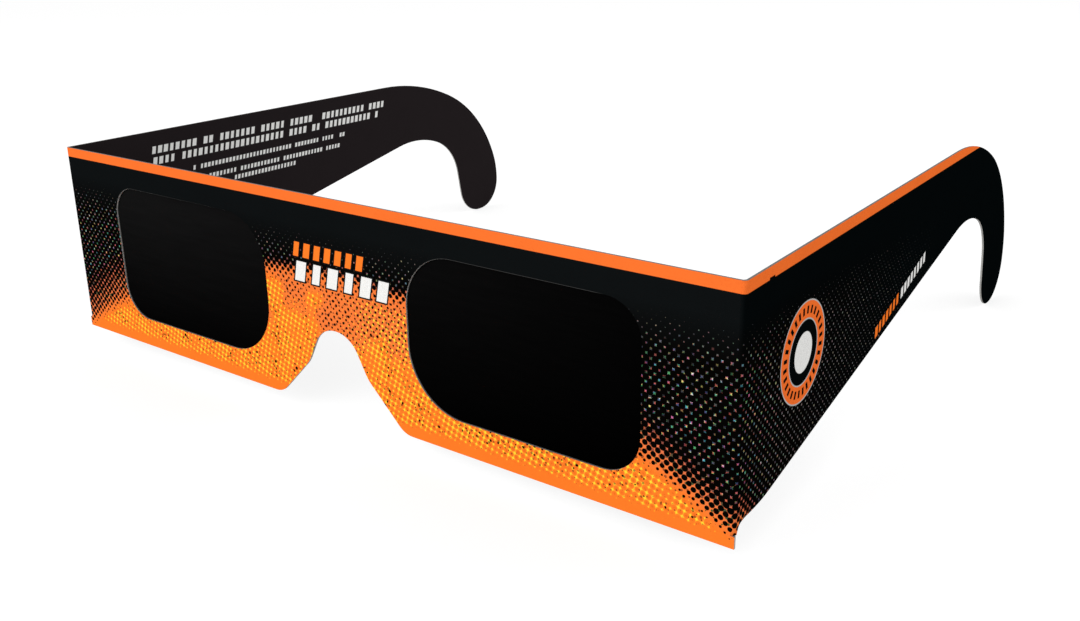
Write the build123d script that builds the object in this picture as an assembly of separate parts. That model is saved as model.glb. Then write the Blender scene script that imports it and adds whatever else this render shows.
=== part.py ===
from build123d import *
import math
import os

# Paper eclipse glasses, in millimetres.
# X runs across the face, with the wearer's left at +X. Y runs back towards the ears. Z is up.
# The origin is midway between the front and the ends of the ear hooks, level with the hook tips.
# The front stands upright between two creases, with both temples folded straight back from it.

# Board and film
board_thickness = 0.4
film_thickness = 0.09
fold_clearance = 0.05

# Front
front_width = 150.0
front_height = 38.3
rear_panel_setback = 1.2
rear_panel_inset = 0.4

# Lens windows
window_nose_margin = 1.7
window_end_margin = 14.9
window_sill_height = 5.7
window_head_height = 5.9
window_nose_top_radius = 9.5
window_nose_bottom_radius = 11.0
window_end_top_radius = 6.0
window_end_bottom_radius = 6.5
film_lap = 3.0
film_corner_radius = 0.6

# Notch over the nose
nose_half_width = 15.0
nose_height = 15.0
nose_top_radius = 5.4
nose_shoulder_radius = 6.0
nose_corner_radius = 4.0
nose_shoulder_shares = (0.473, 0.527)
nose_crown_half_width_share = 0.227

# Glue between the two plies of the front
glue_edge_margin = 1.2
glue_gap = 0.4
glue_corner_radius = 0.5

# Temples
temple_length = 138.5
temple_root_rise = 3.5
temple_root_flat = 8.0
temple_root_blend_radius = 30.0
temple_neck_height = 15.2
crease_end_gap = 0.05
root_curve_length = 2.2
root_curve_height = 1.5
root_curve_radius = 1.2
root_curve_shares = (0.25, 0.8)

# Ear hooks
# A point of the outer edge is a share of the hook's length in from its end, a share of its full
# height down from the top edge, and a corner radius as a share of its length.
hook_length = 34.6
hook_drop = 3.55
hook_tip_width = 15.75
hook_tip_radius = 8.2
hook_neck_radius = 27.8
hook_inner_radius = 13.8
hook_inner_shares = (0.572, 0.495)
hook_outer_shares = (
    (0.968, 0.0, 1.82),
    (0.217, 0.27, 1.07),
    (0.0, 0.705, 0.62),
)

# Worked out from the sizes above
front_stack = 2 * board_thickness + film_thickness
crease_radius = (front_stack + board_thickness + fold_clearance) / 2
crease_inner_radius = crease_radius - board_thickness
half_width = front_width / 2
axis_offset = half_width - crease_radius
front_face_y = -temple_length / 2
film_layer_y = front_face_y + board_thickness
rear_panel_y = film_layer_y + film_thickness
axis_y = front_face_y + crease_radius
rear_panel_end = axis_offset - rear_panel_setback
crease_rise = temple_root_rise - root_curve_height
window_nose_x = nose_half_width + window_nose_margin
window_end_x = half_width - window_end_margin
window_top = front_height - window_head_height


def rounded_face(corners):
    """A flat face inside a closed outline of (x, y, radius) corners, each radius limited by its two sides."""
    points = [Vector(x, y) for x, y, radius in corners]
    count = len(points)
    towards_last = [(points[i - 1] - points[i]).normalized() for i in range(count)]
    towards_next = [(points[(i + 1) % count] - points[i]).normalized() for i in range(count)]
    half_turns = [(180 - towards_last[i].get_angle(towards_next[i])) / 2 for i in range(count)]
    wanted = [corners[i][2] * math.tan(math.radians(half_turns[i])) for i in range(count)]
    trims = list(wanted)
    for i in range(count):
        j = (i + 1) % count
        side = (points[j] - points[i]).length
        both = wanted[i] + wanted[j]
        if both > side:
            trims[i] = min(trims[i], wanted[i] * side / both)
            trims[j] = min(trims[j], wanted[j] * side / both)
    edges = []
    ends = []
    for i in range(count):
        if trims[i] > 0:
            radius = trims[i] / math.tan(math.radians(half_turns[i]))
            inward = (towards_last[i] + towards_next[i]).normalized()
            rise = radius / math.cos(math.radians(half_turns[i])) - radius
            arc_start = points[i] + towards_last[i] * trims[i]
            arc_end = points[i] + towards_next[i] * trims[i]
            edges.append(Edge.make_three_point_arc(arc_start, points[i] + inward * rise, arc_end))
            ends.append((arc_start, arc_end))
        else:
            ends.append((points[i], points[i]))
    for i in range(count):
        line_start = ends[i][1]
        line_end = ends[(i + 1) % count][0]
        if (line_end - line_start).length > crease_end_gap / front_width:
            edges.append(Edge.make_line(line_start, line_end))
    return Face(Wire(Wire.combine(edges)[0].edges()))


def box_corners(left, right, bottom, top, radius):
    """The four corners of an upright rectangle, all rounded alike."""
    return [(left, bottom, radius), (right, bottom, radius), (right, top, radius), (left, top, radius)]


def sheet(face, thickness):
    """A flat sheet of this thickness, raised from the drawing plane."""
    return extrude(face, thickness, dir=(0, 0, 1))


def upright(face, thickness, y):
    """A sheet parallel to the front, with its outer side at y, from a face drawn in x and height."""
    return Pos(0, y + thickness, hook_drop) * (Plane.XZ * sheet(face, thickness))


def other_side(solid):
    """The same piece on the other side of the face."""
    return mirror(solid, about=Plane.YZ)


def nose_edge(inset=0):
    """The corners of the nose notch, from the wearer's right to the left, widened and raised by the inset."""
    shoulder_x = nose_shoulder_shares[0] * nose_half_width
    shoulder_z = nose_shoulder_shares[1] * nose_height
    crown_x = nose_crown_half_width_share * nose_half_width
    left_half = [
        (crown_x + inset, nose_height + inset, nose_top_radius),
        (shoulder_x + inset, shoulder_z + inset, nose_shoulder_radius),
        (nose_half_width + inset, inset, nose_corner_radius),
    ]
    right_half = [(-x, z, radius) for x, z, radius in reversed(left_half)]
    return right_half + left_half


def window_face(side):
    """One lens window: side is 1 for the wearer's left and -1 for the right."""
    return rounded_face([
        (side * window_nose_x, window_sill_height, window_nose_bottom_radius),
        (side * window_end_x, window_sill_height, window_end_bottom_radius),
        (side * window_end_x, window_top, window_end_top_radius),
        (side * window_nose_x, window_top, window_nose_top_radius),
    ])


def ply(outline, y):
    """One ply of the front, with both windows cut through."""
    face = rounded_face(outline) - window_face(1) - window_face(-1)
    return upright(face, board_thickness, y)


def front_panel():
    """The printed outer ply. Below each crease a small tab carries its lower corner out to the full width."""
    tab_top = crease_rise - crease_end_gap
    outline = [
        *nose_edge(),
        (half_width, 0, 0),
        (half_width, tab_top, 0),
        (axis_offset, tab_top, 0),
        (axis_offset, front_height, 0),
        (-axis_offset, front_height, 0),
        (-axis_offset, tab_top, 0),
        (-half_width, tab_top, 0),
        (-half_width, 0, 0),
    ]
    return ply(outline, front_face_y)


def rear_panel():
    """The plain inner ply, cut a little smaller all round, and short of the creases so that a temple folds flat."""
    top = front_height - rear_panel_inset
    outline = [
        *nose_edge(rear_panel_inset),
        (rear_panel_end, rear_panel_inset, 0),
        (rear_panel_end, top, 0),
        (-rear_panel_end, top, 0),
        (-rear_panel_end, rear_panel_inset, 0),
    ]
    return ply(outline, rear_panel_y)


def film_limits():
    """The nose side, outer end, bottom and top of the wearer's left film, lapped all round its window."""
    left = window_nose_x - film_lap
    right = window_end_x + film_lap
    return left, right, window_sill_height - film_lap, window_top + film_lap


def lens_film():
    """The wearer's left filter film."""
    face = rounded_face(box_corners(*film_limits(), film_corner_radius))
    return upright(face, film_thickness, film_layer_y)


def glue(left, right, bottom, top):
    """A rectangle of set glue in the film's layer."""
    face = rounded_face(box_corners(left, right, bottom, top, glue_corner_radius))
    return upright(face, film_thickness, film_layer_y)


def top_glue_strip():
    """The glue line above both films, from end to end."""
    end_x = rear_panel_end - glue_edge_margin
    bottom = film_limits()[3] + glue_gap
    return glue(-end_x, end_x, bottom, front_height - glue_edge_margin)


def bridge_glue_patch():
    """The glue between the two films, above the nose notch."""
    end_x = film_limits()[0] - glue_gap
    top = film_limits()[3]
    return glue(-end_x, end_x, nose_height + glue_edge_margin, top)


def lower_glue_strip():
    """The glue line below the wearer's left film."""
    film_nose, film_end, film_bottom, film_top = film_limits()
    nose_x = nose_half_width + nose_corner_radius / 2
    top = film_bottom - glue_gap
    return glue(nose_x, film_end, glue_edge_margin / 2, top)


def end_glue_strip():
    """The glue between the wearer's left film and the crease."""
    film_nose, film_end, film_bottom, film_top = film_limits()
    return glue(film_end + glue_gap, rear_panel_end - glue_edge_margin, glue_edge_margin / 2, film_top)


def crease():
    """The scored bend at the wearer's left: a quarter turn of board round the fold's axis."""
    corner = math.cos(math.radians(45))
    outer = Edge.make_three_point_arc(
        (0, -crease_radius), (corner * crease_radius, -corner * crease_radius), (crease_radius, 0)
    )
    inner = Edge.make_three_point_arc(
        (crease_inner_radius, 0),
        (corner * crease_inner_radius, -corner * crease_inner_radius),
        (0, -crease_inner_radius),
    )
    temple_end = Edge.make_line((crease_radius, 0), (crease_inner_radius, 0))
    front_end = Edge.make_line((0, -crease_inner_radius), (0, -crease_radius))
    section = Face(Wire([outer, temple_end, inner, front_end]))
    bend = sheet(section, front_height - crease_rise)
    return Pos(axis_offset, axis_y, hook_drop + crease_rise) * bend


def hook_edge():
    """The corners of the ear hook, from the top edge round the tip to the neck, y counted from the front."""
    height = front_height + hook_drop
    outer = [
        (temple_length - inset * hook_length, front_height - drop * height, radius * hook_length)
        for inset, drop, radius in hook_outer_shares
    ]
    tip = [
        (temple_length, -hook_drop, hook_tip_radius),
        (temple_length - hook_tip_width, -hook_drop, hook_tip_radius),
    ]
    inner_inset, inner_drop = hook_inner_shares
    inner = [
        (temple_length - inner_inset * hook_length, front_height - inner_drop * height, hook_inner_radius),
        (temple_length - hook_length, front_height - temple_neck_height, hook_neck_radius),
    ]
    return outer + tip + inner


def temple():
    """The wearer's left temple: it tapers back to a neck and drops in a hook behind the ear."""
    curve_y = crease_radius + root_curve_shares[0] * root_curve_length
    curve_z = crease_rise + root_curve_shares[1] * root_curve_height
    outline = [
        (crease_radius, front_height, 0),
        *hook_edge(),
        (temple_root_flat, temple_root_rise, temple_root_blend_radius),
        (crease_radius + root_curve_length, temple_root_rise, root_curve_radius),
        (curve_y, curve_z, root_curve_radius),
        (crease_radius, crease_rise, 0),
    ]
    board = Plane.YZ * sheet(rounded_face(outline), board_thickness)
    return Pos(half_width - board_thickness, front_face_y, hook_drop) * board


pieces = {
    "front_panel": front_panel(),
    "rear_panel": rear_panel(),
    "top_glue_strip": top_glue_strip(),
    "bridge_glue_patch": bridge_glue_patch(),
}
paired_pieces = {
    "lens_film": lens_film(),
    "lower_glue_strip": lower_glue_strip(),
    "end_glue_strip": end_glue_strip(),
    "crease": crease(),
    "temple": temple(),
}
for name, solid in paired_pieces.items():
    pieces["left_" + name] = solid
    pieces["right_" + name] = other_side(solid)

os.makedirs("parts", exist_ok=True)
for name, solid in pieces.items():
    export_step(solid, f"parts/{name}.step")
    print(name, "volume", round(solid.volume, 2), "mm3")
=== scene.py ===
"""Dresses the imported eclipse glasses, their printed boards, creases, films and glue, in a pale studio."""

import math
from functools import partial

import bmesh
import bpy
from bpy.props import FloatProperty, FloatVectorProperty, IntProperty, PointerProperty
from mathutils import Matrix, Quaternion, Vector, noise


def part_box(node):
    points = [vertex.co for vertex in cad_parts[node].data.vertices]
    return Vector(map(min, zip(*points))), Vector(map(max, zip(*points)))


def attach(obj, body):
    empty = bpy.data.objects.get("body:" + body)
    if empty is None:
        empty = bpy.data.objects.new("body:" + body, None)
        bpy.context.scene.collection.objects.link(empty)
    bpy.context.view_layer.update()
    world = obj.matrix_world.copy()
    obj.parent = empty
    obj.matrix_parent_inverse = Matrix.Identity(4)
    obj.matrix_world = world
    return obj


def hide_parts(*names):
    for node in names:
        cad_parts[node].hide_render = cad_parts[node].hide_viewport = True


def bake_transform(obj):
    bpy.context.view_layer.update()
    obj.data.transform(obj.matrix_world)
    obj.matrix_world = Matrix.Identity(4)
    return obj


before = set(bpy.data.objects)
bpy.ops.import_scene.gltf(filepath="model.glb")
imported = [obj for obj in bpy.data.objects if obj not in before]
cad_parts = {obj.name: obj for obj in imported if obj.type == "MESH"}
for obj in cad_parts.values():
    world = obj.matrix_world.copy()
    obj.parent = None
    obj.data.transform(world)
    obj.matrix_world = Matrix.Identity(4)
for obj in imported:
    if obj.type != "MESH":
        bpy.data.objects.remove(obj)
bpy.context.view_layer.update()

bl_info = {
    "name": "Eclipse glasses",
    "version": (1, 0, 0),
    "blender": (4, 5, 0),
    "location": "3D Viewport > Sidebar > Glasses",
    "description": "Finishes a pair of folding card eclipse glasses and the studio around them",
    "category": "Object",
}

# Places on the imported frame, in metres
MM = 0.001
FRONT_LOW, FRONT_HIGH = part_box("front_panel")
REAR_LOW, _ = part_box("rear_panel")
CREASE_LOW, CREASE_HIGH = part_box("left_crease")
TEMPLE_LOW, TEMPLE_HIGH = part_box("left_temple")
BOARD = FRONT_HIGH.y - FRONT_LOW.y
FOLD_RADIUS = CREASE_HIGH.x - CREASE_LOW.x
FOLD_INNER_RADIUS = FOLD_RADIUS - BOARD
FOLD_STEPS = 24
FOLD_ROWS = 48
SIDES = {"left": 1, "right": -1}

# The flat printed blank, in millimetres: across from the middle of the front, up from its bottom edge
BLANK_FOLD = CREASE_LOW.x / MM
BLANK_TEMPLE = BLANK_FOLD + FOLD_RADIUS / MM * math.pi / 2
BLANK_UV_SCALE = 100
FACE_DEPTH = 0.02

# Bare stock between the dots, and what each ink lets through
PAPER = (0.82, 0.82, 0.78)
YELLOW_FILTER = (1.0, 0.88, 0.25)
MAGENTA_FILTER = (0.75, 0.15, 0.42)
CYAN_FILTER = (0.08, 0.50, 0.62)
LOOSE_CYAN_FILTER = (0.36, 0.42, 0.75)
DEEP_ORANGE_FILTER = (0.84, 0.74, 0.8)
RICH_BLACK = (0.0016, 0.0013, 0.0010)
NET_ORANGE = (0.80, 0.185, 0.060)
DIM_GAP = (0.20, 0.19, 0.19)


def colour_setting(name, description, default):
    """A colour that a user may change."""
    return FloatVectorProperty(name=name, description=description, subtype="COLOR", default=default)


def length_setting(name, description, millimetres):
    """A length that a user may change."""
    return FloatProperty(name=name, description=description, unit="LENGTH", default=millimetres * MM)


class PrintSettings(bpy.types.PropertyGroup):
    """Inks and halftone of the printed outer faces."""

    black: colour_setting("Black ink", "Solid black of the upper half", (0.0043, 0.0053, 0.0057))
    # Painted shade: the temples' outer faces get a darker black than the front's
    side_black: colour_setting(
        "Black ink on the temples", "Denser black of the temples' outer faces", (0.0014, 0.0024, 0.0027)
    )
    stripe: colour_setting("Stripe", "Orange of the stripe along the top edge", (0.90, 0.165, 0.027))
    orange: colour_setting("Orange ink", "Bottom band and net between the black dots", (0.97, 0.198, 0.021))
    yellow: colour_setting("Yellow ink", "Soft dots in the orange below the windows", (1.0, 0.71, 0.04))
    dot_pitch: length_setting("Dot pitch", "Distance between neighbouring halftone dots", 1.0)
    crown_height: length_setting("Glow height", "Height of the glow at the middle of the front", 24.8)
    end_drop: length_setting("Glow drop", "How far the glow sinks from there to the front's ends", 20.5)
    solid_height: length_setting("Solid black height", "Height at which the last tinted dots close up", 32)
    stripe_bottom: length_setting("Stripe height", "Height of the stripe over the bottom edge", 36.5)


class BoardSettings(bpy.types.PropertyGroup):
    """Card stock of the panels, temples and creases."""

    inner: colour_setting("Inner face", "Dark print on the wearer's side", (0.0180, 0.0142, 0.0152))
    core: colour_setting("Cut edge", "Bare fibre of the board where it is cut", (0.46, 0.45, 0.43))
    mark: colour_setting("White marks", "White of the plain printed ornaments", (0.82, 0.82, 0.80))
    grain_size: length_setting("Grain size", "Size of the paper grain", 0.35)
    edge_round: length_setting("Cut edge rounding", "Rounding that the die leaves on the cut edges", 0.06)
    bead_height: length_setting("Crease bead", "Ridge that scoring raises inside the crease", 0.07)


class FilmSettings(bpy.types.PropertyGroup):
    """Black polymer film behind the windows."""

    colour: colour_setting("Film", "Colour of the film where it looks palest", (0.0061, 0.0060, 0.0061))
    lap: length_setting("Lap", "Width of film held behind the board round each window", 3)
    ripple_height: length_setting("Ripple height", "Height of the film's slack ripples", 0.09)
    ripple_length: length_setting("Ripple length", "Distance over which the film rises and falls", 16)
    divisions: IntProperty(name="Divisions", description="Mesh cells along the film", default=72)


class StageSettings(bpy.types.PropertyGroup):
    """Studio round the glasses."""

    floor: colour_setting("Floor", "Colour of the floor", (0.8, 0.8, 0.8))
    sky_strength: FloatProperty(name="Sky strength", description="Even light from all round", default=0.62)
    front_lamp: FloatProperty(
        name="Front lamp", description="Power of the lamp before the front", unit="POWER", default=6.5
    )
    side_lamp: FloatProperty(
        name="Side lamp", description="Power of the lamp beside the left temple", unit="POWER", default=1.9
    )


# The usual range of a cloud's number
CLOUD_LOW, CLOUD_HIGH = 0.3, 0.7


def math_method(operation):
    """A method of Number that makes one Math node."""

    def method(self, *others):
        return self.worked(operation, self, *others)

    return method


class Number:
    """A number that changes over a surface; sums and products of it become Math nodes."""

    def __init__(self, tree, socket):
        self.tree = tree
        self.socket = socket

    def worked(self, operation, *values):
        """The result of one Math node on the given values."""
        node = self.tree.nodes.new("ShaderNodeMath")
        node.operation = operation
        for socket, value in zip(node.inputs, values):
            feed(self.tree, socket, value)
        return Number(self.tree, node.outputs["Value"])

    __add__ = math_method("ADD")
    __sub__ = math_method("SUBTRACT")
    __mul__ = math_method("MULTIPLY")
    __truediv__ = math_method("DIVIDE")
    __pow__ = math_method("POWER")
    __abs__ = math_method("ABSOLUTE")
    floor = math_method("FLOOR")
    fraction = math_method("FRACT")
    least = math_method("MINIMUM")
    most = math_method("MAXIMUM")
    over = math_method("GREATER_THAN")
    under = math_method("LESS_THAN")

    def __rsub__(self, other):
        return self.worked("SUBTRACT", other, self)

    def mapped(self, start, end, low=0.0, high=1.0, kind="SMOOTHSTEP"):
        """Goes from low to high while this number goes from start to end, and no further."""
        node = self.tree.nodes.new("ShaderNodeMapRange")
        node.interpolation_type = kind
        for socket, value in zip(node.inputs, (self, start, end, low, high)):
            feed(self.tree, socket, value)
        return Number(self.tree, node.outputs["Result"])

    def line(self, start, end, low=0.0, high=1.0):
        """Like mapped, at an even rate."""
        return self.mapped(start, end, low, high, "LINEAR")

    def spread(self, low, high):
        """Goes from low to high over the usual range of a cloud's number."""
        return self.line(CLOUD_LOW, CLOUD_HIGH, low, high)

    def length_with(self, other):
        """The distance from zero of the point whose two coordinates are this number and the other."""
        return (self * self + other * other) ** 0.5


def feed(tree, socket, value):
    """Gives a socket its value: a link where it comes from a node, and a plain value otherwise."""
    if isinstance(value, Number):
        value = value.socket
    if isinstance(value, bpy.types.NodeSocket):
        tree.links.new(value, socket)
    elif socket.type == "RGBA":
        socket.default_value = (*value, 1.0)
    else:
        socket.default_value = value


def add(tree, kind, values=None, **settings):
    """A node of that kind, with its settings and the values of its named inputs."""
    node = tree.nodes.new(kind)
    for name, value in settings.items():
        setattr(node, name, value)
    for name, value in (values or {}).items():
        feed(tree, node.inputs[name], value)
    return node


def blended(tree, share, first, second, kind="MIX"):
    """The first colour where share is 0 and the second where it is 1."""
    node = add(tree, "ShaderNodeMix", data_type="RGBA", blend_type=kind)
    for place, value in ((0, share), (6, first), (7, second)):
        feed(tree, node.inputs[place], value)
    return node.outputs[2]


def dimmed(tree, colour, share):
    """The colour times share."""
    return blended(tree, share, (0.0, 0.0, 0.0), colour)


def inked(tree, share, colour, ink):
    """The colour unchanged where share is 0, and seen through the ink where it is 1."""
    return blended(tree, share, colour, ink, "MULTIPLY")


def point(tree, first, second, third=0.0):
    """A vector with three coordinates."""
    node = tree.nodes.new("ShaderNodeCombineXYZ")
    for socket, value in zip(node.inputs, (first, second, third)):
        feed(tree, socket, value)
    return node.outputs["Vector"]


def chance(tree, first, second, draw):
    """A random number from 0 to 1 for each whole step of both values; each use has its own draw."""
    where = point(tree, first.floor(), second.floor(), draw)
    return Number(tree, add(tree, "ShaderNodeTexWhiteNoise", {"Vector": where}).outputs["Value"])


def cloud(tree, where, size, detail=2.0):
    """A smooth random number that changes over about that size in millimetres."""
    node = add(tree, "ShaderNodeTexNoise", {"Vector": where, "Scale": 1 / size, "Detail": detail})
    return Number(tree, node.outputs["Fac"])


def kind_of(value):
    """The kind of group socket that takes the value."""
    if isinstance(value, (Number, float, int)):
        return "NodeSocketFloat"
    is_vector = isinstance(value, bpy.types.NodeSocket) and value.type == "VECTOR"
    return "NodeSocketVector" if is_vector else "NodeSocketColor"


def outputs_of(tree, node):
    """A node's outputs by name, the plain numbers among them as Number."""
    return {
        socket.name: Number(tree, socket) if socket.type == "VALUE" else socket
        for socket in node.outputs
    }


def new_group(name, work_out, values):
    """A shader node group with an input for each value; work_out gives its outputs from its inputs."""
    tree = bpy.data.node_groups.new(name, "ShaderNodeTree")
    for label, value in values.items():
        tree.interface.new_socket(label, in_out="INPUT", socket_type=kind_of(value))
    results = work_out(tree, outputs_of(tree, tree.nodes.new("NodeGroupInput")))
    for label, value in results.items():
        tree.interface.new_socket(label, in_out="OUTPUT", socket_type=kind_of(value))
    add(tree, "NodeGroupOutput", results)
    return tree


def use_group(tree, work_out, values):
    """The named outputs of the group that bears work_out's name, which is made at its first use."""
    name = work_out.__name__.replace("_", " ").capitalize()
    group = bpy.data.node_groups.get(name) or new_group(name, work_out, values)
    return outputs_of(tree, add(tree, "ShaderNodeGroup", values, node_tree=group))


# How far each ink's screen is turned
BLACK_TURN = math.radians(45)
CYAN_TURN = math.radians(18)
MAGENTA_TURN = math.radians(-18)
YELLOW_TURN = 0.0

# Arch along which the black dots meet over the glow, in millimetres on the blank
ARCH_POWER = 1.87
ARCH_REACH = 74
LAST_ARCH_POINT = 74.5
WAVER_SIZE, WAVER_DEPTH = 7.0, 1.6

# Changes with the distance from the middle: start and end in millimetres, and the values there
ENDS_SINK = (64, 74, 0, 1.2)
TEMPLES_SINK = (77, 90, 0, 12)
NET_WIDTH = (15, 60, 1.8, 4.8)
NOSE_SIDES = (17, 24, 1.0, 0.0)
# Painted shade: where the front's black turns to the temples' darker black
SIDE_SHADE_START = (74.2, 74.9)
TEMPLES_BACK = (75, 145)
TEMPLES_GREY = (76, 92, 0.15, 0.85)
TEMPLES_FADE = (92, 158, 1.0, 0.0)
TEMPLES_RICH = (90, 140, 1.0, 0.0)

# The like across the front, of which the denser dots go by the distance from a middle of their own
RIGHT_END_SINK = (-50, -60, 0, 1.1)
RIGHT_NET_WIDTH = (-20, -60, 0, 3.0)
NOSE_LEAN = (-13, 0, -0.12, 0.08)
NOSE_GLOW_LOSS = (-2, 10, 0.6, 0.05)
NOSE_DOT = (0, 14, 0.265, 0.24)
DENSER_MIDDLE, DENSER = -5, (15, 62, 0.0, 0.024)

# The like upwards from the bottom edge, where two changes end at the height of the solid black
SPECKS_FOOT = (1.8, 3.2)
GLOW_FOOT = (0.9, 2.4)
NOSE_FOOT = (11, 16)
TOP_GREY = (22, 31, 0.0, 0.8)
TOP_RICH = (26, 33, 1.0, 0.0)
CLOSING_START, CLOSING_PAST = 22, 0.5
FADE_START, FADE_TOP = 20, 0.35

# Half the width of the stripe's soft edge, in millimetres
STRIPE_EDGE = 0.03

# The like upwards from the arch
GLOW_TOP = (-0.6, -2.6)
NET_ORANGE_RISE = (-2, 2)
NET_CYAN_RISE = (-2.5, 1.5)
CLOSING_RISE = (0, 2)

# Sizes of uneven patches in millimetres, and the cloud tones between which they come up
UNEVEN_SIZE = 1.3
NOSE_SIZE, NOSE_TONES = 9.0, (0.38, 0.50)
SPECKS_SIZE, SPECKS_TONES = 3.4, (0.45, 0.54)
GLOW_SIZE, GLOW_TONES = 3.0, (0.3, 0.6, 0.72, 1.0)

# Radii of dots and the softness of their edges, as shares of the dot pitch
DOT_EDGE = 0.07
SOFT_DOT_EDGE = 0.22
SOLID_DOT = 0.80
FIRST_DOT, FIRST_DOT_RISE = 0.42, 2.3
NET_GROWTH = 0.17
GROWTH_POWER = 0.75
CLOSING_GROWTH, CLOSING_POWER = 0.2, 3
BACK_GROWTH = 0.08
SPECK_DOT = 0.10
DARK_MAGENTA_DOT, DARK_CYAN_DOT, DARK_YELLOW_DOT = 0.50, 0.50, 0.51
NET_CYAN_DOT = 0.33
LOOSE_CYAN_DOT = 0.22
DEEP_DOT, DEEP_DOT_EDGE = 0.36, 0.30
GLOW_OPENING = 0.425

# How much the uneven patches change each kind of dot
UNEVEN_BLACK, UNEVEN_NOSE, UNEVEN_SPECKS, UNEVEN_CYAN = 0.4, 0.3, 1.2, 0.4

# Shares of the net's width at which its gaps start to darken and are dark, and how their light scatters
DARK_START, DARK_END, HARD_EDGE_END = 0.3, 1.2, 0.3
SPARKLE_POWER, SPARKLE, DIMMEST_GAP, SPARKLE_DRAW = 1.5, 1.45, 0.32, 8.0

# The net's orange at the nose, loose cyan dots in the glow, and where the cyan is at its palest
NOSE_NET_ORANGE, GLOW_LOOSE, LOOSE_FILTER_END = 0.45, 0.6, 0.3


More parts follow.
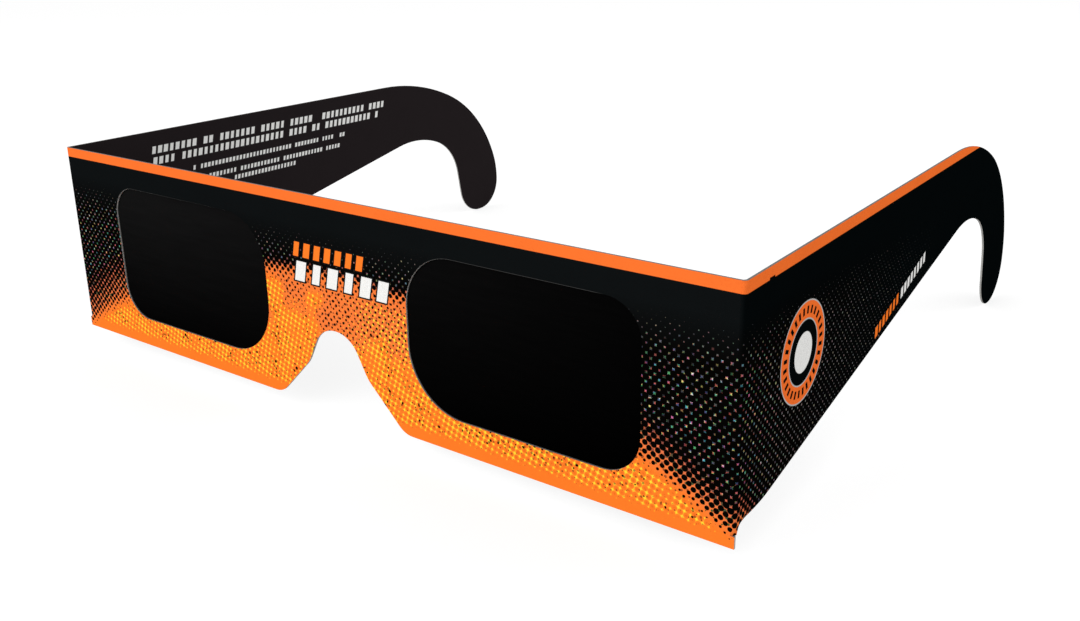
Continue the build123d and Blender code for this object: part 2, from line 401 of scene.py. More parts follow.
def halftone_print(tree, given):
    """Four inks in turned screens of dots: black closes over orange and yellow below the top stripe."""
    across, up, pitch = given["Across"], given["Up"], given["Dot Pitch"]
    where = point(tree, across, up)

    def screen(turn):
        """The place on a screen turned by that angle, in dots."""
        along = (across * math.cos(turn) + up * math.sin(turn)) / pitch
        aside = (up * math.cos(turn) - across * math.sin(turn)) / pitch
        return along, aside

    def dots(turn, radius, edge=DOT_EDGE):
        """Where one ink's dots lie."""
        along, aside = screen(turn)
        from_dot = (along.fraction() - 0.5).length_with(aside.fraction() - 0.5)
        return from_dot.mapped(radius - edge, radius, 1.0, 0.0)

    # Distance from the middle, height over the arch, and how dark the gaps between the dots have turned
    out = abs(across)
    sunk = (out.least(LAST_ARCH_POINT) / ARCH_REACH) ** ARCH_POWER * given["End Drop"]
    ends = out.line(*ENDS_SINK) + across.line(*RIGHT_END_SINK)
    waver = (cloud(tree, where, WAVER_SIZE) - 0.5) * WAVER_DEPTH
    above = up - given["Crown Height"] + sunk + ends + waver + out.line(*TEMPLES_SINK)
    net_width = out.line(*NET_WIDTH) + across.line(*RIGHT_NET_WIDTH)
    dark = above.line(net_width * DARK_START, net_width * DARK_END)
    uneven = cloud(tree, where, UNEVEN_SIZE, detail=1.0) - 0.5

    # Patches of small loose dots over the nose and below the windows
    nose_patch = cloud(tree, where, NOSE_SIZE, detail=1.0) + across.line(*NOSE_LEAN)
    at_nose = out.mapped(*NOSE_SIDES) * up.mapped(*NOSE_FOOT)
    nose = nose_patch.mapped(*NOSE_TONES) * at_nose
    specks = cloud(tree, where, SPECKS_SIZE, detail=1.0).mapped(*SPECKS_TONES) * up.mapped(*SPECKS_FOOT)

    # Radius of the black dots
    denser = abs(across - DENSER_MIDDLE).line(*DENSER)
    to_arch = (above / FIRST_DOT_RISE + 1.0).most(0.0).least(1.0)
    past_arch = (above / net_width).most(0.0).least(1.0)
    first = to_arch ** GROWTH_POWER * (denser + FIRST_DOT)
    net = past_arch ** GROWTH_POWER * (NET_GROWTH - denser)
    closing = up.line(CLOSING_START, given["Solid Height"] + CLOSING_PAST) ** CLOSING_POWER
    closing = closing * above.mapped(*CLOSING_RISE) * CLOSING_GROWTH
    back = out.line(*TEMPLES_BACK)
    black = first * (uneven * UNEVEN_BLACK + 1.0) + net + closing + back * BACK_GROWTH
    black = black.most(nose * (uneven * UNEVEN_NOSE + across.line(*NOSE_DOT)))
    black = black.most(specks * (uneven * UNEVEN_SPECKS + SPECK_DOT))

    # Radii of the coloured dots
    nose_loss = nose * across.line(*NOSE_GLOW_LOSS)
    open_glow = up.line(*GLOW_FOOT) * above.line(*GLOW_TOP) * (1.0 - nose_loss)
    glow = cloud(tree, where, GLOW_SIZE).line(*GLOW_TONES) * open_glow
    glow_magenta = SOLID_DOT + SOFT_DOT_EDGE - glow * GLOW_OPENING
    magenta = dark.line(0, 1, glow_magenta, DARK_MAGENTA_DOT)
    loose = nose.most(specks).most(glow * GLOW_LOOSE)
    cyan = dark.line(0, 1, above.line(*NET_CYAN_RISE) * NET_CYAN_DOT, DARK_CYAN_DOT)
    cyan = cyan.most(loose * (uneven * UNEVEN_CYAN + LOOSE_CYAN_DOT))
    yellow = dark.line(0, 1, SOLID_DOT, DARK_YELLOW_DOT)

    # What shows between the black dots: orange over yellow in the glow, and dim tints above it
    magenta_dots = dots(MAGENTA_TURN, magenta, dark.line(0, HARD_EDGE_END, SOFT_DOT_EDGE, DOT_EDGE))
    in_net = above.line(*NET_ORANGE_RISE).most(nose * NOSE_NET_ORANGE)
    orange = blended(tree, in_net, given["Orange"], NET_ORANGE)
    deep = dots(MAGENTA_TURN, glow * DEEP_DOT, DEEP_DOT_EDGE)
    orange = inked(tree, deep, orange, DEEP_ORANGE_FILTER)
    warm = blended(tree, magenta_dots, given["Yellow"], orange)
    loose_filter = blended(tree, loose.mapped(0, LOOSE_FILTER_END), CYAN_FILTER, LOOSE_CYAN_FILTER)
    warm = inked(tree, dots(CYAN_TURN, cyan), warm, loose_filter)
    tint = inked(tree, dots(YELLOW_TURN, yellow), PAPER, YELLOW_FILTER)
    tint = inked(tree, magenta_dots, tint, MAGENTA_FILTER)
    tint = inked(tree, dark * dots(CYAN_TURN, cyan), tint, CYAN_FILTER)
    greyed = out.line(*TEMPLES_GREY).most(up.line(*TOP_GREY))
    tint = blended(tree, greyed, tint, DIM_GAP)
    fade = up.line(FADE_START, given["Solid Height"], 1.0, FADE_TOP) * out.line(*TEMPLES_FADE)
    along, aside = screen(BLACK_TURN)
    sparkle = chance(tree, along + 0.5, aside + 0.5, SPARKLE_DRAW) ** SPARKLE_POWER
    fade = fade * (sparkle * SPARKLE + DIMMEST_GAP)
    between = blended(tree, dark, warm, dimmed(tree, tint, fade))

    # The black itself, darker on the temples as painted shade, and the stripe over it
    plain = blended(tree, out.line(*SIDE_SHADE_START), given["Black"], given["Side Black"])
    rich = up.line(*TOP_RICH) * out.line(*TEMPLES_RICH)
    solid = blended(tree, rich, plain, RICH_BLACK)
    printed = blended(tree, dots(BLACK_TURN, black), between, solid)
    stripe = (up - given["Stripe Bottom"]).line(-STRIPE_EDGE, STRIPE_EDGE)
    return {"Color": blended(tree, stripe, printed, given["Stripe"])}


def board_faces(_, given):
    """Masks of a board's outer and inner faces, from the depth below the outer face in millimetres."""
    from_inner = given["Thickness"] - given["Depth"]
    return {"Outer": given["Depth"].under(FACE_DEPTH), "Inner": from_inner.under(FACE_DEPTH)}


# Textures of the board, the film and the glue: sizes and heights in millimetres, tones and roughness
GRAIN_HEIGHT, GRAIN_BREAKUP = 0.006, 0.6
BROAD_GRAIN_SIZE, FINE_GRAIN_TONE, BROAD_GRAIN_TONE = 6.0, 0.6, 0.4
MOTTLE = (0.93, 1.05)
STREAK_SIZE, STREAK_HEIGHT, STREAK_TONES = 0.12, 0.03, (0.62, 1.25)
FIBRE_PATCH_SIZE, FIBRE_PATCH_TONES = 2.5, (0.85, 1.12)
# Painted shade: cut edges darken as they face upwards, to half their colour where they face straight up
UPWARD_CUT_SHADE = (0.3, 0.9, 1.0, 0.5)
RUB_PATCH_SIZE, RUB_PATCH_SHARE = 14.0, 1.4
RUB_SPECK_SIZE, RUB_SPECK_SHARE = 1.1, 0.6
PRINT_ROUGHNESS, PRINT_RUB, CUT_ROUGHER, INNER_ROUGHER = 0.46, 0.16, 0.4, 0.08
FILM_ROUGHNESS, FILM_RUB = 0.3, 0.12
FILM_STREAK_SIZE, FILM_STREAK_TONES = 1.2, (0.9, 1.1)
FILM_STREAK_WIDE, FILM_STREAK_HIGH = 0.15, 1.6
# Painted reflection on the film: it grows paler upwards and towards the left
FILM_REFLECTION_UP = (6, 30, 0.2, 1.0)
FILM_REFLECTION_LEFT = (-45, 60, 1.0, 0.2)
FILM_SWELL_SIZE, FILM_SWELL_HEIGHT = 9.0, 0.03
GLUE_CLOUD_SIZE, GLUE_HEIGHT, GLUE_ROUGHNESS = 1.5, 0.02, (0.35, 0.6)
GLUE_THIN, GLUE_THICK, GLUE_GLOSS = (0.42, 0.40, 0.35), (0.72, 0.70, 0.62), 0.5


def paper_grain(tree, given):
    """Fine paper grain: a tone that mottles the colour and a height in millimetres."""
    scale = given["Grain Size"].worked("DIVIDE", 1.0, given["Grain Size"])
    values = {"Vector": given["Position"], "Scale": scale, "Detail": 3.0, "Roughness": GRAIN_BREAKUP}
    fine = Number(tree, add(tree, "ShaderNodeTexNoise", values).outputs["Fac"])
    broad = cloud(tree, given["Position"], BROAD_GRAIN_SIZE)
    tone = fine * FINE_GRAIN_TONE + broad * BROAD_GRAIN_TONE
    return {"Tone": tone, "Height": fine * given["Grain Height"]}


def cut_fibre(tree, given):
    """Bare cut fibre: short pale and dark streaks along the cut, and their height in millimetres."""
    streaks = cloud(tree, given["Position"], STREAK_SIZE, detail=3.0)
    patches = cloud(tree, given["Position"], FIBRE_PATCH_SIZE)
    shade = streaks.spread(*STREAK_TONES) * patches.spread(*FIBRE_PATCH_TONES)
    return {"Color": dimmed(tree, given["Core"], shade), "Height": streaks * STREAK_HEIGHT}


def rubbed_surface(tree, given):
    """Faint rubbing and handling, which change how rough a face is."""
    patches = cloud(tree, given["Position"], RUB_PATCH_SIZE, detail=4.0) - 0.5
    specks = cloud(tree, given["Position"], RUB_SPECK_SIZE, detail=3.0) - 0.5
    rubbed = patches * RUB_PATCH_SHARE + specks * RUB_SPECK_SHARE
    return {"Roughness": given["Roughness"] + rubbed * given["Spread"]}


# Dashes: how far they lean, how their lengths vary, and the soft edges of a dash and of its border
RULE_SLANT = 0.22
DASH_DRAW = 5.0
HALF_DASH, HALF_DASH_SPREAD = 0.6, -0.2
DASH_EDGE = (-0.04, 0.04, 1.0, 0.0)
BORDER_EDGE = (0.24, 0.32, 1.0, 0.0)


def dashed_rule(tree, given):
    """Masks of a row of slanted dashes that starts at zero, in millimetres, and of its border."""
    aside, pitch, length = given["Aside"], given["Pitch"], given["Length"]
    leaned = given["Along"] - aside * RULE_SLANT
    step = (leaned / pitch).floor().most(0.0).least(length / pitch - 1.0)
    draw = chance(tree, step + 0.5, length, DASH_DRAW)
    half = pitch * given["Dash"] * (draw * HALF_DASH_SPREAD + HALF_DASH)
    past_end = abs(leaned - (step + 0.5) * pitch) - half
    outside = past_end.most(abs(aside) - given["Height"] * 0.5)
    outside = outside + draw.under(given["Missing"]) * length
    return {"Mask": outside.line(*DASH_EDGE), "Border": outside.line(*BORDER_EDGE)}


def new_material(name):
    """A material, its node tree and its Principled shader."""
    material = bpy.data.materials.new(name)
    material.use_nodes = True
    tree = material.node_tree
    return material, tree, tree.nodes["Principled BSDF"]


def scaled_place(tree, vector, scale):
    """A vector times scale, and its three coordinates."""
    scaled = add(tree, "ShaderNodeVectorMath", {"Vector": vector, "Scale": scale}, operation="SCALE")
    place = scaled.outputs["Vector"]
    parts = add(tree, "ShaderNodeSeparateXYZ", {"Vector": place})
    return place, [Number(tree, socket) for socket in parts.outputs]


def object_place(tree):
    """The place on a rigid piece in millimetres."""
    return scaled_place(tree, add(tree, "ShaderNodeTexCoord").outputs["Object"], 1 / MM)


def blank_place(tree):
    """The place on the flat blank that a crease's mesh carries, in millimetres."""
    return scaled_place(tree, add(tree, "ShaderNodeUVMap", uv_map="blank").outputs["UV"], BLANK_UV_SCALE)


def outer_print(tree, across, up, **changed):
    """The print of the outer faces at a place on the blank, with any settings that are changed there."""
    look = bpy.context.scene.glasses_print
    values = {"Across": across, "Up": up}
    for name in PrintSettings.__annotations__:
        value = getattr(look, name)
        if isinstance(value, float):
            value /= MM
        values[name.replace("_", " ").title()] = changed.get(name, value)
    return use_group(tree, halftone_print, values)["Color"]


def dress(tree, shader, colour, roughness, height, gloss=0.0):
    """Gives a shader its colour, its roughness, its relief in millimetres and its gloss."""
    normal = add(tree, "ShaderNodeBump", {"Height": height, "Distance": MM}).outputs["Normal"]
    values = {"Base Color": colour, "Roughness": roughness, "Normal": normal, "Specular IOR Level": gloss}
    for label, value in values.items():
        feed(tree, shader.inputs[label], value)


def finish_board(tree, shader, where, faces, outer_colour, inner_colour, cut_light=1.0):
    """Puts the outer print, the inner face and the bare cut edge together in a board's shader."""
    look = bpy.context.scene.glasses_board
    outer, inner = faces
    grain_values = {"Position": where, "Grain Size": look.grain_size / MM, "Grain Height": GRAIN_HEIGHT}
    grain = use_group(tree, paper_grain, grain_values)
    fibre = use_group(tree, cut_fibre, {"Position": where, "Core": look.core})
    rub_values = {"Position": where, "Roughness": PRINT_ROUGHNESS, "Spread": PRINT_RUB}
    rub = use_group(tree, rubbed_surface, rub_values)
    normal = add(tree, "ShaderNodeNewGeometry").outputs["Normal"]
    facing = outputs_of(tree, add(tree, "ShaderNodeSeparateXYZ", {"Vector": normal}))
    # The cut edges' colour is darkened by painted shade where they face upwards, and through cut_light
    # deeper in the windows' cut edges
    cut = dimmed(tree, fibre["Color"], facing["Z"].line(*UPWARD_CUT_SHADE) * cut_light)
    mottle = grain["Tone"].spread(*MOTTLE)
    colour = blended(tree, outer, cut, dimmed(tree, outer_colour, mottle))
    colour = blended(tree, inner, colour, dimmed(tree, inner_colour, mottle))
    bare = 1.0 - outer.most(inner)
    roughness = rub["Roughness"] + bare * CUT_ROUGHER + inner * INNER_ROUGHER
    dress(tree, shader, colour, roughness, grain["Height"] + fibre["Height"] * bare)


def face_masks(tree, depth, at_fold=0.0):
    """Masks of a board's outer and inner faces, to which its ends are added where at_fold is 1."""
    faces = use_group(tree, board_faces, {"Depth": depth, "Thickness": BOARD / MM})
    outer = faces["Outer"].most(depth.under(BOARD / MM / 2) * at_fold)
    return outer, faces["Inner"].most(depth.over(BOARD / MM / 2) * at_fold)


# The windows of the printed front, in millimetres
WINDOW_NOSE, WINDOW_END = 16.7, 60.1
WINDOW_SILL, WINDOW_TOP = 5.7, 32.4
WINDOW_MARGIN = 0.5
NOSE_TOP_RADIUS, END_TOP_RADIUS = 9.5, 6.0
RADIUS_CHANGE = (35, 45)

# Painted highlight along the windows' heads: how pale it is and where; painted shade that dims their cut
# edges with depth
HEAD_HIGHLIGHT = 0.10
HIGHLIGHT_START, HIGHLIGHT_END, HIGHLIGHT_FOOT = (-0.02, 0.0), (0.05, 0.09, 1.0, 0.0), (28, 31)
RIGHT_HIGHLIGHT, LEFT_HIGHLIGHT = (-56, -26, 0.9, 0.0), (52, 54, 1.0, 0.0)
# Painted shade on the windows' cut edges: the depths in millimetres where it starts and ends, and how dark
# it gets
WINDOW_SHADE_DEPTH = (0.16, 0.30, 0.0, 0.7)

# The ends of the boards that lie against a crease, in millimetres
FOLD_FOOT, FOLD_TOP, FOLD_MARGIN = 2.0, 38.25, 0.1


def head_rub(x, up):
    """Painted highlight: how much of the pale cut-edge colour is laid in a thin line along the heads of the
    windows and round their upper corners.
    """
    out = abs(x)
    radius = out.line(*RADIUS_CHANGE, NOSE_TOP_RADIUS, END_TOP_RADIUS)
    aside = out - out.most(WINDOW_NOSE + NOSE_TOP_RADIUS).least(WINDOW_END - END_TOP_RADIUS)
    past = aside.length_with(up - WINDOW_TOP + radius) - radius
    line = past.line(*HIGHLIGHT_START) * past.line(*HIGHLIGHT_END) * up.line(*HIGHLIGHT_FOOT)
    return line * (x.line(*RIGHT_HIGHLIGHT) + x.over(0.0) * x.line(*LEFT_HIGHLIGHT)) * HEAD_HIGHLIGHT


def window_soot(x, up, depth):
    """Painted shade: how much of its colour a window's cut edge keeps, less deeper towards the black film.
    """
    out = abs(x)
    level = up.over(WINDOW_SILL - WINDOW_MARGIN) * up.under(WINDOW_TOP + WINDOW_MARGIN)
    at_window = out.over(WINDOW_NOSE - WINDOW_MARGIN) * out.under(WINDOW_END + WINDOW_MARGIN) * level
    return 1.0 - at_window * depth.line(*WINDOW_SHADE_DEPTH)


def front_material():
    """Printed board of the front panel."""
    material, tree, shader = new_material("printed_front_board")
    look = bpy.context.scene.glasses_board
    where, (x, y, z) = object_place(tree)
    depth = y - FRONT_LOW.y / MM
    up = z - FRONT_LOW.z / MM
    at_fold = abs(x).over(BLANK_FOLD - FOLD_MARGIN) * up.over(FOLD_FOOT) * up.under(FOLD_TOP)
    faces = face_masks(tree, depth, at_fold)
    printed = bridge_rules(tree, x, up, outer_print(tree, x, up))
    # Painted highlight: the pale cut-edge colour in a thin line along the windows' heads
    printed = blended(tree, head_rub(x, up), printed, look.core)
    finish_board(tree, shader, where, faces, printed, look.inner, window_soot(x, up, depth))
    return material


def rear_material():
    """Dark inner board of the rear panel."""
    material, tree, shader = new_material("dark_rear_board")
    look = bpy.context.scene.glasses_board
    where, (_, y, _) = object_place(tree)
    finish_board(tree, shader, where, face_masks(tree, y - REAR_LOW.y / MM), look.core, look.inner)
    return material


# The ring with ticks round a disc on the left temple, and the nick in the stripe there, in millimetres
RING_BACK, RING_UP = 20.1, 21.85
RING_INNER, RING_OUTER, RING_RIM, RIM_TONE = 5.1, 7.65, 0.2, 0.6
TICKS = 28
TICK_INNER, TICK_OUTER, TICK_HALF_WIDTH, TICK_EDGE = 5.75, 6.95, 0.27, 0.1
DISC_RADIUS = 3.1
CIRCLE_EDGE = 0.05
NICK_START, NICK_END, NICK_HEIGHT = 6.95, 8.65, 0.3

# Rows of plain dashes: the start and the height of each in millimetres, its pitch, dash height and count
SLOPE_BACK, SLOPE_UP, SLOPE_TURN = 51.1, 14.4, math.atan2(7.5, 26)
SLOPE_ORANGE_ROW = (0.0, 0.0, 1.7, 1.9, 7)
SLOPE_WHITE_ROW = (12.58, 0.0, 1.7, 1.9, 8)
BRIDGE_WHITE_ROW = (-9.4, 24.4, 3.85, 3.6, 6)
BRIDGE_ORANGE_ROW = (-9.4, 28.3, 2.5, 2.6, 7)
INNER_ROWS = (
    (19.0, 34.2, 1.5, 1.6, 48),
    (19.0, 31.8, 1.48, 1.6, 48),
    (27.0, 28.5, 1.0, 1.0, 49),
    (33.0, 25.9, 1.0, 1.0, 42),
    (40.0, 24.1, 1.0, 1.0, 19),
)
DASH, BRIDGE_DASH = 0.62, 0.52
INNER_MISSING = 0.13


def ring_ornament(tree, back, up):
    """The colour and the mask of a plain orange ring with black ticks round a white disc, on black."""
    look = bpy.context.scene.glasses_print
    aside = back - RING_BACK
    over = up - RING_UP
    radius = aside.length_with(over)
    turn = aside.worked("ARCTAN2", over, aside) * (TICKS / math.tau)
    from_tick = abs(turn.fraction() - 0.5) * radius * (math.tau / TICKS)

    def disc(size):
        """Where the place lies within a circle."""
        return radius.line(size - CIRCLE_EDGE, size + CIRCLE_EDGE, 1.0, 0.0)

    def band(inner, outer):
        """Where the place lies between two circles."""
        return radius.line(inner - CIRCLE_EDGE, inner + CIRCLE_EDGE) * disc(outer)

    # The ring lies on the temples' black, which is darkened as painted shade
    colour = blended(tree, band(RING_INNER, RING_OUTER), look.side_black, look.stripe)
    at_tick = from_tick.line(TICK_HALF_WIDTH, TICK_HALF_WIDTH + TICK_EDGE, 1.0, 0.0)
    colour = blended(tree, band(TICK_INNER, TICK_OUTER) * at_tick, colour, look.side_black)
    rims = band(RING_INNER - RING_RIM, RING_INNER).most(band(RING_OUTER, RING_OUTER + RING_RIM))
    white_parts = (rims * RIM_TONE).most(disc(DISC_RADIUS))
    colour = blended(tree, white_parts, colour, bpy.context.scene.glasses_board.mark)
    return colour, disc(RING_OUTER + RING_RIM + CIRCLE_EDGE)


def dashes(tree, under, along, up, row, colour, dash=DASH, missing=0.0, border=None):
    """A row of dashes in a colour over what is under it, with a border in another colour if given."""
    start, level, pitch, height, count = row
    rule = use_group(
        tree,
        dashed_rule,
        {
            "Along": along - start,
            "Aside": up - level,
            "Pitch": pitch,
            "Height": height,
            "Length": pitch * count,
            "Dash": dash,
            "Missing": missing,
        },
    )
    if border is not None:
        under = blended(tree, rule["Border"], under, border)
    return blended(tree, rule["Mask"], under, colour)


def sloping_rule(tree, back, up, under):
    """Dashes along the temple's lower edge, orange and then white, over the colour under them."""
    right = back - SLOPE_BACK
    over = up - SLOPE_UP
    along = right * math.cos(SLOPE_TURN) + over * math.sin(SLOPE_TURN)
    aside = over * math.cos(SLOPE_TURN) - right * math.sin(SLOPE_TURN)
    scene = bpy.context.scene
    under = dashes(tree, under, along, aside, SLOPE_ORANGE_ROW, scene.glasses_print.orange)
    return dashes(tree, under, along, aside, SLOPE_WHITE_ROW, scene.glasses_board.mark)


def bridge_rules(tree, x, up, under):
    """Orange dashes over larger white ones, all bordered in black, between the windows."""
    look = bpy.context.scene.glasses_print
    white = bpy.context.scene.glasses_board.mark
    for row, colour in ((BRIDGE_WHITE_ROW, white), (BRIDGE_ORANGE_ROW, look.orange)):
        under = dashes(tree, under, x, up, row, colour, dash=BRIDGE_DASH, border=look.black)
    return under


def inner_rules(tree, back, up, under):
    """Rows of white dashes on the inner face, some of them missing."""
    white = bpy.context.scene.glasses_board.mark
    for row in INNER_ROWS:
        under = dashes(tree, under, back, up, row, white, missing=INNER_MISSING)
    return under


def temple_material(side_name):
    """Printed board of a temple: the left one has a ring and dashes outside, the right one dashes inside."""
    material, tree, shader = new_material(side_name + "_temple_board")
    where, (x, y, z) = object_place(tree)
    up = z - FRONT_LOW.z / MM
    back = y - FRONT_LOW.y / MM
    across = (y - TEMPLE_LOW.y / MM + BLANK_TEMPLE) * SIDES[side_name]
    at_fold = back.under(FOLD_RADIUS / MM + FOLD_MARGIN) * up.under(FOLD_TOP)
    faces = face_masks(tree, TEMPLE_HIGH.x / MM - abs(x), at_fold)
    inner_colour = bpy.context.scene.glasses_board.inner
    if side_name == "left":
        nick = back.over(NICK_START) * back.under(NICK_END) * NICK_HEIGHT
        bottom = nick + bpy.context.scene.glasses_print.stripe_bottom / MM
        printed = outer_print(tree, across, up, stripe_bottom=bottom)
        ring_colour, ring_mask = ring_ornament(tree, back, up)
        printed = blended(tree, ring_mask, printed, ring_colour)
        printed = sloping_rule(tree, back, up, printed)
    else:
        printed = outer_print(tree, across, up)
        inner_colour = inner_rules(tree, back, up, inner_colour)
    finish_board(tree, shader, where, faces, printed, inner_colour)
    return material


def crease_materials():
    """Print, inner face and cut edge of the creases, which bend, so that all three follow the blank."""
    made = []
    for name, outer, inner in (("print", 1.0, 0.0), ("inside", 0.0, 1.0), ("cut_edge", 0.0, 0.0)):
        material, tree, shader = new_material("crease_" + name)
        where, (across, up, _) = blank_place(tree)
        nothing = across * 0.0
        printed = outer_print(tree, across, up)
        faces = (nothing + outer, nothing + inner)
        finish_board(tree, shader, where, faces, printed, bpy.context.scene.glasses_board.inner)
        made.append(material)
    return made


def film_material():
    """Black polymer film: dense, smooth and slightly mottled, with a painted reflection that makes it paler
    upwards and to the left.
    """
    material, tree, shader = new_material("black_polymer_film")
    where, (x, y, z) = object_place(tree)
    up = z - FRONT_LOW.z / MM
    rub_values = {"Position": where, "Roughness": FILM_ROUGHNESS, "Spread": FILM_RUB}
    rub = use_group(tree, rubbed_surface, rub_values)
    drawn = point(tree, x * FILM_STREAK_WIDE, y, z * FILM_STREAK_HIGH)
    streaks = cloud(tree, drawn, FILM_STREAK_SIZE, detail=3.0).spread(*FILM_STREAK_TONES)
    # Painted reflection: the film's colour is paler upwards and towards the left
    tone = up.line(*FILM_REFLECTION_UP) * x.line(*FILM_REFLECTION_LEFT) * streaks
    colour = dimmed(tree, bpy.context.scene.glasses_film.colour, tone)
    swell = cloud(tree, where, FILM_SWELL_SIZE, detail=1.0) * FILM_SWELL_HEIGHT
    dress(tree, shader, colour, rub["Roughness"], swell)
    return material


def glue_material():
    """Set white glue, cloudy where it is thicker."""
    material, tree, shader = new_material("set_white_glue")
    tone = cloud(tree, object_place(tree)[0], GLUE_CLOUD_SIZE, detail=3.0)
    colour = blended(tree, tone, GLUE_THIN, GLUE_THICK)
    dress(tree, shader, colour, tone.spread(*GLUE_ROUGHNESS), tone * GLUE_HEIGHT, GLUE_GLOSS)
    return material


def set_material(node_name, material):
    """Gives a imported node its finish."""
    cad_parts[node_name].material_slots[0].material = material


def finish_piece(node_name, material):
    """Gives a board its finish and rounds its cut edges as the cutting die leaves them."""
    set_material(node_name, material)
    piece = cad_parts[node_name]
    joined = piece.modifiers.new("Join faces", "WELD")
    joined.merge_threshold = 0.001 * MM
    rounding = piece.modifiers.new("Die rounding", "BEVEL")
    rounding.width = bpy.context.scene.glasses_board.edge_round
    rounding.segments = 2
    rounding.limit_method = "ANGLE"
    rounding.angle_limit = math.radians(50)
    rounding.harden_normals = True


def new_piece(name, build, materials):
    """An object in the scene whose mesh is made with a bmesh."""
    mesh = bpy.data.meshes.new(name)
    piece = bpy.data.objects.new(name, mesh)
    bpy.context.scene.collection.objects.link(piece)
    for material in materials:
        mesh.materials.append(material)
    work = bmesh.new()
    build(work)
    work.to_mesh(mesh)
    work.free()
    mesh.shade_smooth()
    return piece


def build_crease(side, work):
    """A quarter bend of board between the front and a temple, with its score bead inside."""
    bead_height = bpy.context.scene.glasses_board.bead_height
    blank = work.loops.layers.uv.new("blank")
    low, high = CREASE_LOW.z, CREASE_HIGH.z
    middle_radius = (FOLD_RADIUS + FOLD_INNER_RADIUS) / 2

    def corner(turn, radius, height):
        x = CREASE_LOW.x + radius * math.sin(turn)
        y = CREASE_HIGH.y - radius * math.cos(turn)
        return work.verts.new((side * x, y, height))

    turns = [math.pi / 2 * step / FOLD_STEPS for step in range(FOLD_STEPS + 1)]
    heights = [low + (high - low) * row / FOLD_ROWS for row in range(FOLD_ROWS + 1)]
    outer = [[corner(turn, FOLD_RADIUS, height) for turn in turns] for height in heights]
    middle = [
        {step: corner(turns[step], middle_radius, height) for step in (0, FOLD_STEPS)}
        for height in heights
    ]
    inner = [
        [corner(turn, FOLD_INNER_RADIUS - bead_height * math.sin(2 * turn) ** 2, height) for turn in turns]
        for height in heights
    ]

    def face(sheets, places, material, turned=False):
        """A face with each corner at its own place on its own sheet of corners."""
        corners = list(zip(sheets, places))
        if turned == (side > 0):
            corners.reverse()
        made = work.faces.new([sheet[row][step] for sheet, (step, row) in corners])
        made.material_index = material
        for loop, (_, (step, row)) in zip(made.loops, corners):
            across = side * (BLANK_FOLD + FOLD_RADIUS / MM * turns[step])
            up = (heights[row] - FRONT_LOW.z) / MM
            loop[blank].uv = (across / BLANK_UV_SCALE, up / BLANK_UV_SCALE)

    for row in range(FOLD_ROWS):
        for step in range(FOLD_STEPS):
            places = ((step, row), (step + 1, row), (step + 1, row + 1), (step, row + 1))
            face([outer] * 4, places, 0)
            face([inner] * 4, places, 1, turned=True)
        for step, turned in ((0, False), (FOLD_STEPS, True)):
            places = ((step, row), (step, row + 1), (step, row + 1), (step, row))
            face((outer, outer, middle, middle), places, 0, turned)
            face((middle, middle, inner, inner), places, 1, turned)
    for row, turned in ((0, True), (FOLD_ROWS, False)):
        for step in range(FOLD_STEPS):
            places = ((step, row), (step + 1, row), (step + 1, row), (step, row))
            face((outer, outer, inner, inner), places, 2, turned)


# Finer ripples of a film: how they are drawn out across and up, how much finer they are, and their share
RIPPLE_WIDE, RIPPLE_HIGH, RIPPLE_FINER, FINE_RIPPLE_SHARE = 0.5, 2.0, 3, 0.12


def build_film(side, work):
    """A thin sheet that lies flat in its lap and ripples a little inside the window."""
    look = bpy.context.scene.glasses_film
    low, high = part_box(("left" if side > 0 else "right") + "_lens_film")
    columns = look.divisions
    rows = round(columns * (high.z - low.z) / (high.x - low.x))

    def ripple(x, z):
        inside = min(x - low.x, high.x - x, z - low.z, high.z - z) - look.lap
        ease = min(max(inside / (2 * look.lap), 0.0), 1.0)
        apart = side * look.ripple_length
        wave = noise.noise(Vector((x, z, apart)) / look.ripple_length)
        drawn = Vector((x * RIPPLE_WIDE, z * RIPPLE_HIGH, apart)) * RIPPLE_FINER
        fine = noise.noise(drawn / look.ripple_length)
        return look.ripple_height * ease * ease * (3 - 2 * ease) * (wave + FINE_RIPPLE_SHARE * fine)

    def corner(column, row, y):
        x = low.x + (high.x - low.x) * column / columns
        z = low.z + (high.z - low.z) * row / rows
        return work.verts.new((x, y + ripple(x, z), z))

    front = [[corner(c, r, low.y) for c in range(columns + 1)] for r in range(rows + 1)]
    back = [[corner(c, r, high.y) for c in range(columns + 1)] for r in range(rows + 1)]
    for r in range(rows):
        for c in range(columns):
            work.faces.new((front[r][c], front[r][c + 1], front[r + 1][c + 1], front[r + 1][c]))
            work.faces.new((back[r + 1][c], back[r + 1][c + 1], back[r][c + 1], back[r][c]))
    rim = [(0, c) for c in range(columns)] + [(r, columns) for r in range(rows)]
    rim += [(rows, c) for c in range(columns, 0, -1)] + [(r, 0) for r in range(rows, 0, -1)]
    for (r1, c1), (r2, c2) in zip(rim, rim[1:] + rim[:1]):
        work.faces.new((front[r2][c2], front[r1][c1], back[r1][c1], back[r2][c2]))


class FinishFrontPanel(bpy.types.Operator):
    """Print the front panel"""

    bl_idname = "glasses.finish_front_panel"
    bl_label = "Front panel"

    def execute(self, context):
        finish_piece("front_panel", front_material())
        return {"FINISHED"}


class FinishRearPanel(bpy.types.Operator):
    """Finish the dark rear panel that backs the front"""

    bl_idname = "glasses.finish_rear_panel"
    bl_label = "Rear panel"

    def execute(self, context):
        finish_piece("rear_panel", rear_material())
        return {"FINISHED"}


class FinishTemples(bpy.types.Operator):
    """Print both temples"""

    bl_idname = "glasses.finish_temples"
    bl_label = "Temples"

    def execute(self, context):
        for side_name in SIDES:
            finish_piece(side_name + "_temple", temple_material(side_name))
        return {"FINISHED"}


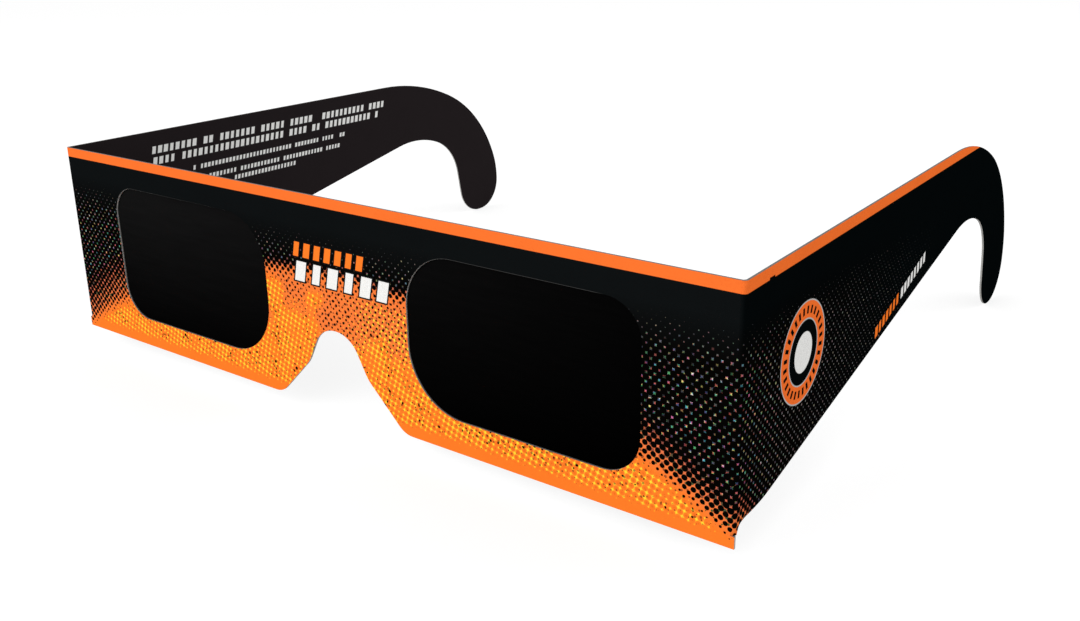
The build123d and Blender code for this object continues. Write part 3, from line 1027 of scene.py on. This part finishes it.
class FoldCreases(bpy.types.Operator):
    """Fold the board round each crease as a quarter bend between the front and a temple"""

    bl_idname = "glasses.fold_creases"
    bl_label = "Creases"

    def execute(self, context):
        materials = crease_materials()
        for side_name, side in SIDES.items():
            piece = new_piece(side_name + "_folded_crease", partial(build_crease, side), materials)
            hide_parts(side_name + "_crease")
            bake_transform(piece)
        return {"FINISHED"}


class SetLensFilms(bpy.types.Operator):
    """Set a rippled film behind each window"""

    bl_idname = "glasses.set_lens_films"
    bl_label = "Lens films"

    def execute(self, context):
        material = film_material()
        for side_name, side in SIDES.items():
            piece = new_piece(side_name + "_rippled_film", partial(build_film, side), [material])
            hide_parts(side_name + "_lens_film")
            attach(piece, "front")
        return {"FINISHED"}


class SpreadGlue(bpy.types.Operator):
    """Finish the glue between the panels"""

    bl_idname = "glasses.spread_glue"
    bl_label = "Glue"

    def execute(self, context):
        material = glue_material()
        glued = [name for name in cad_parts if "glue" in name]
        if not glued:
            raise RuntimeError("the packed frame holds no glue")
        for name in glued:
            set_material(name, material)
        return {"FINISHED"}


# The camera's place in metres and how it is turned, as the photograph's edges give them
CAMERA_PLACE = Vector((128.99, -186.10, 85.40)) * MM
CAMERA_TURN = math.radians(35.8406)
CAMERA_DIP = math.radians(17.8449)
CAMERA_ROLL = math.radians(-0.645)

# The point that the lamps face, the floor's size and its gap below the temples, in metres
LAMP_TARGET = Vector((0.03, -0.05, 0.02))
FLOOR_SIZE = 4.0
FLOOR_GAP = 0.02 * MM

# What the camera sees of the floor: a share of its own shading, and an even light over it
FLOOR_SHADING, FLOOR_LIFT = 0.5, 0.72


def ray_kinds(tree):
    """1 for rays straight from the camera, and 1 for those that come by a mirror or through glass."""
    path = outputs_of(tree, add(tree, "ShaderNodeLightPath"))
    return path["Is Camera Ray"], path["Is Glossy Ray"].most(path["Is Transmission Ray"])


def add_camera():
    """The camera at the photograph's viewing angle."""
    lens = bpy.data.cameras.new("Camera")
    lens.lens = 35.909
    lens.sensor_width = 36
    lens.sensor_fit = "HORIZONTAL"
    lens.shift_x = -0.00725
    lens.shift_y = -0.04532
    lens.clip_start = 0.005
    lens.clip_end = 20
    camera = bpy.data.objects.new("Camera", lens)
    flat = math.cos(CAMERA_DIP)
    aim = Vector((-math.sin(CAMERA_TURN) * flat, math.cos(CAMERA_TURN) * flat, -math.sin(CAMERA_DIP)))
    camera.rotation_mode = "QUATERNION"
    camera.rotation_quaternion = aim.to_track_quat("-Z", "Y") @ Quaternion((0, 0, 1), CAMERA_ROLL)
    camera.location = CAMERA_PLACE
    bpy.context.scene.collection.objects.link(camera)
    bpy.context.scene.camera = camera


def add_lamp(name, place, size, power):
    """A square soft lamp that points at the glasses."""
    light = bpy.data.lights.new(name, "AREA")
    light.size = size
    light.energy = power
    lamp = bpy.data.objects.new(name, light)
    lamp.location = place
    lamp.rotation_mode = "QUATERNION"
    lamp.rotation_quaternion = (LAMP_TARGET - Vector(place)).to_track_quat("-Z", "Y")
    bpy.context.scene.collection.objects.link(lamp)


def mixed_shaders(tree, share, first, second):
    """Shows the first node's shader where share is 0 and the second's where it is 1."""
    mixed = add(tree, "ShaderNodeMixShader", {"Fac": share})
    tree.links.new(first.outputs[0], mixed.inputs[1])
    tree.links.new(second.outputs[0], mixed.inputs[2])
    return mixed


def light_world(strength):
    """An even sky that lights the glasses and looks white behind them."""
    world = bpy.data.worlds.new("Studio")
    world.use_nodes = True
    tree = world.node_tree
    tree.nodes.clear()
    lighting = add(tree, "ShaderNodeBackground", {"Color": (1, 1, 1), "Strength": strength})
    backdrop = add(tree, "ShaderNodeBackground", {"Color": (1, 1, 1), "Strength": 1.0})
    direct, mirrored = ray_kinds(tree)
    mixed = mixed_shaders(tree, direct.most(mirrored), lighting, backdrop)
    add(tree, "ShaderNodeOutputWorld", {"Surface": mixed.outputs[0]})
    bpy.context.scene.world = world


def floor_material(colour):
    """A matte floor that the camera sees paler, and that mirrors show as white."""
    material, tree, _ = new_material("pale_floor")
    tree.nodes.clear()
    matte = add(tree, "ShaderNodeBsdfDiffuse", {"Color": colour})
    shaded = add(tree, "ShaderNodeBsdfDiffuse", {"Color": [share * FLOOR_SHADING for share in colour]})
    lift = add(tree, "ShaderNodeEmission", {"Color": (1, 1, 1), "Strength": FLOOR_LIFT})
    white = add(tree, "ShaderNodeEmission", {"Color": (1, 1, 1), "Strength": 1.0})
    lifted = add(tree, "ShaderNodeAddShader")
    for place, part in enumerate((shaded, lift)):
        tree.links.new(part.outputs[0], lifted.inputs[place])
    direct, mirrored = ray_kinds(tree)
    shown = mixed_shaders(tree, mirrored, mixed_shaders(tree, direct, matte, lifted), white)
    add(tree, "ShaderNodeOutputMaterial", {"Surface": shown.outputs[0]})
    return material


def lay_floor(colour):
    """A plain pale floor under the temples that keeps a soft shadow."""
    grid = partial(bmesh.ops.create_grid, x_segments=1, y_segments=1, size=FLOOR_SIZE)
    floor = new_piece("studio_floor", grid, [floor_material(colour)])
    floor.location.z = TEMPLE_LOW.z - FLOOR_GAP


class BuildStage(bpy.types.Operator):
    """Lay the floor, hang the lamps and place the camera"""

    bl_idname = "glasses.build_stage"
    bl_label = "Stage"

    def execute(self, context):
        look = context.scene.glasses_stage
        context.scene.view_settings.view_transform = "Standard"
        lay_floor(look.floor)
        light_world(look.sky_strength)
        add_lamp("Front lamp", place=(-0.15, -0.95, 0.45), size=0.9, power=look.front_lamp)
        add_lamp("Side lamp", place=(0.60, 0.52, 0.32), size=0.5, power=look.side_lamp)
        add_camera()
        return {"FINISHED"}


OPERATORS = (
    FinishFrontPanel, FinishRearPanel, FinishTemples, FoldCreases, SetLensFilms, SpreadGlue, BuildStage
)


class GlassesPanel(bpy.types.Panel):
    """Lists the sizes, colours and steps of the glasses."""

    bl_idname = "VIEW3D_PT_glasses"
    bl_label = "Eclipse glasses"
    bl_space_type = "VIEW_3D"
    bl_region_type = "UI"
    bl_category = "Glasses"

    def draw(self, context):
        for name, settings in SETTINGS.items():
            box = self.layout.box()
            box.label(text=name.replace("glasses_", "").capitalize())
            for label in settings.__annotations__:
                box.prop(getattr(context.scene, name), label)
        for operator in OPERATORS:
            self.layout.operator(operator.bl_idname)


SETTINGS = {
    "glasses_print": PrintSettings,
    "glasses_board": BoardSettings,
    "glasses_film": FilmSettings,
    "glasses_stage": StageSettings,
}
CLASSES = (*SETTINGS.values(), *OPERATORS, GlassesPanel)


def register():
    """Makes the settings, operators and panel known to Blender."""
    for item in CLASSES:
        bpy.utils.register_class(item)
    for name, settings in SETTINGS.items():
        setattr(bpy.types.Scene, name, PointerProperty(type=settings))


def unregister():
    """Takes the settings, operators and panel out again."""
    for name in SETTINGS:
        delattr(bpy.types.Scene, name)
    for item in reversed(CLASSES):
        bpy.utils.unregister_class(item)


def main():
    """Dresses the glasses and builds the stage."""
    register()
    bpy.ops.glasses.finish_front_panel()
    bpy.ops.glasses.finish_rear_panel()
    bpy.ops.glasses.finish_temples()
    bpy.ops.glasses.fold_creases()
    bpy.ops.glasses.set_lens_films()
    bpy.ops.glasses.spread_glue()
    bpy.ops.glasses.build_stage()


if __name__ == "__main__":
    main()
